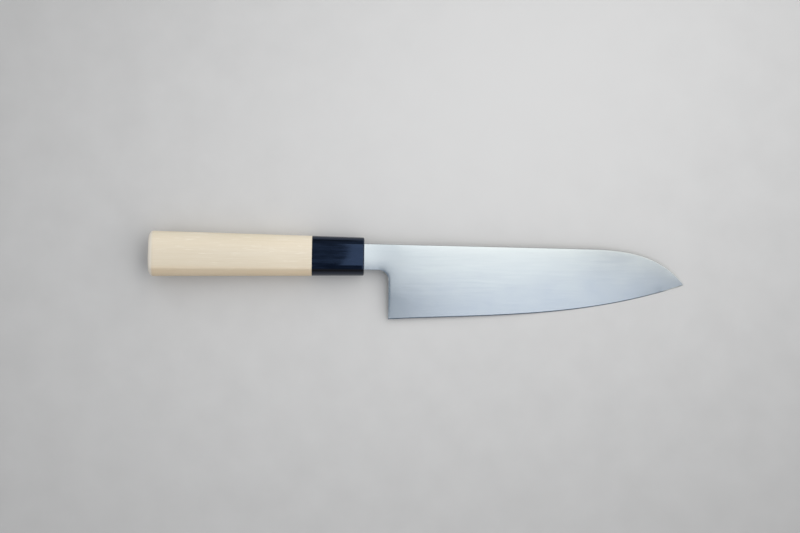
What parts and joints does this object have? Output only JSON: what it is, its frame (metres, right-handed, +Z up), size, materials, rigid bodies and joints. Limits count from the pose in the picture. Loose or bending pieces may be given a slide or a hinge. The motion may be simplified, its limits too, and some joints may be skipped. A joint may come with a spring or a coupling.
{
  "type": "santoku knife",
  "caption": "Kitchen knife with a broad double-bevelled steel blade on a hidden tang, a dark horn ferrule and a D-shaped pale wooden handle, lying on its left side.",
  "frame": {"origin": "on the table under the middle of the knife's bounding box, with the knife lying on its left side as it comes to rest", "axes": "+X along the handle's axis from the butt to the tip, as seen from above; +Y from the edge to the spine; +Z up, out of the blade's right face"},
  "size_m": [0.308, 0.049, 0.0234],
  "materials": {
    "steel": "satin ground along the blade",
    "wood": "fine sanded, unvarnished magnolia wood",
    "horn": "polished black buffalo horn",
    "seal_resin": "dark set resin",
    "bedding_resin": "set resin"
  },
  "bodies": {
    "root": {"blade": "steel", "handle_body": "wood", "ferrule": "horn", "mouth_seal": "seal_resin", "tang_bedding": "bedding_resin"}
  },
  "joints": []
}
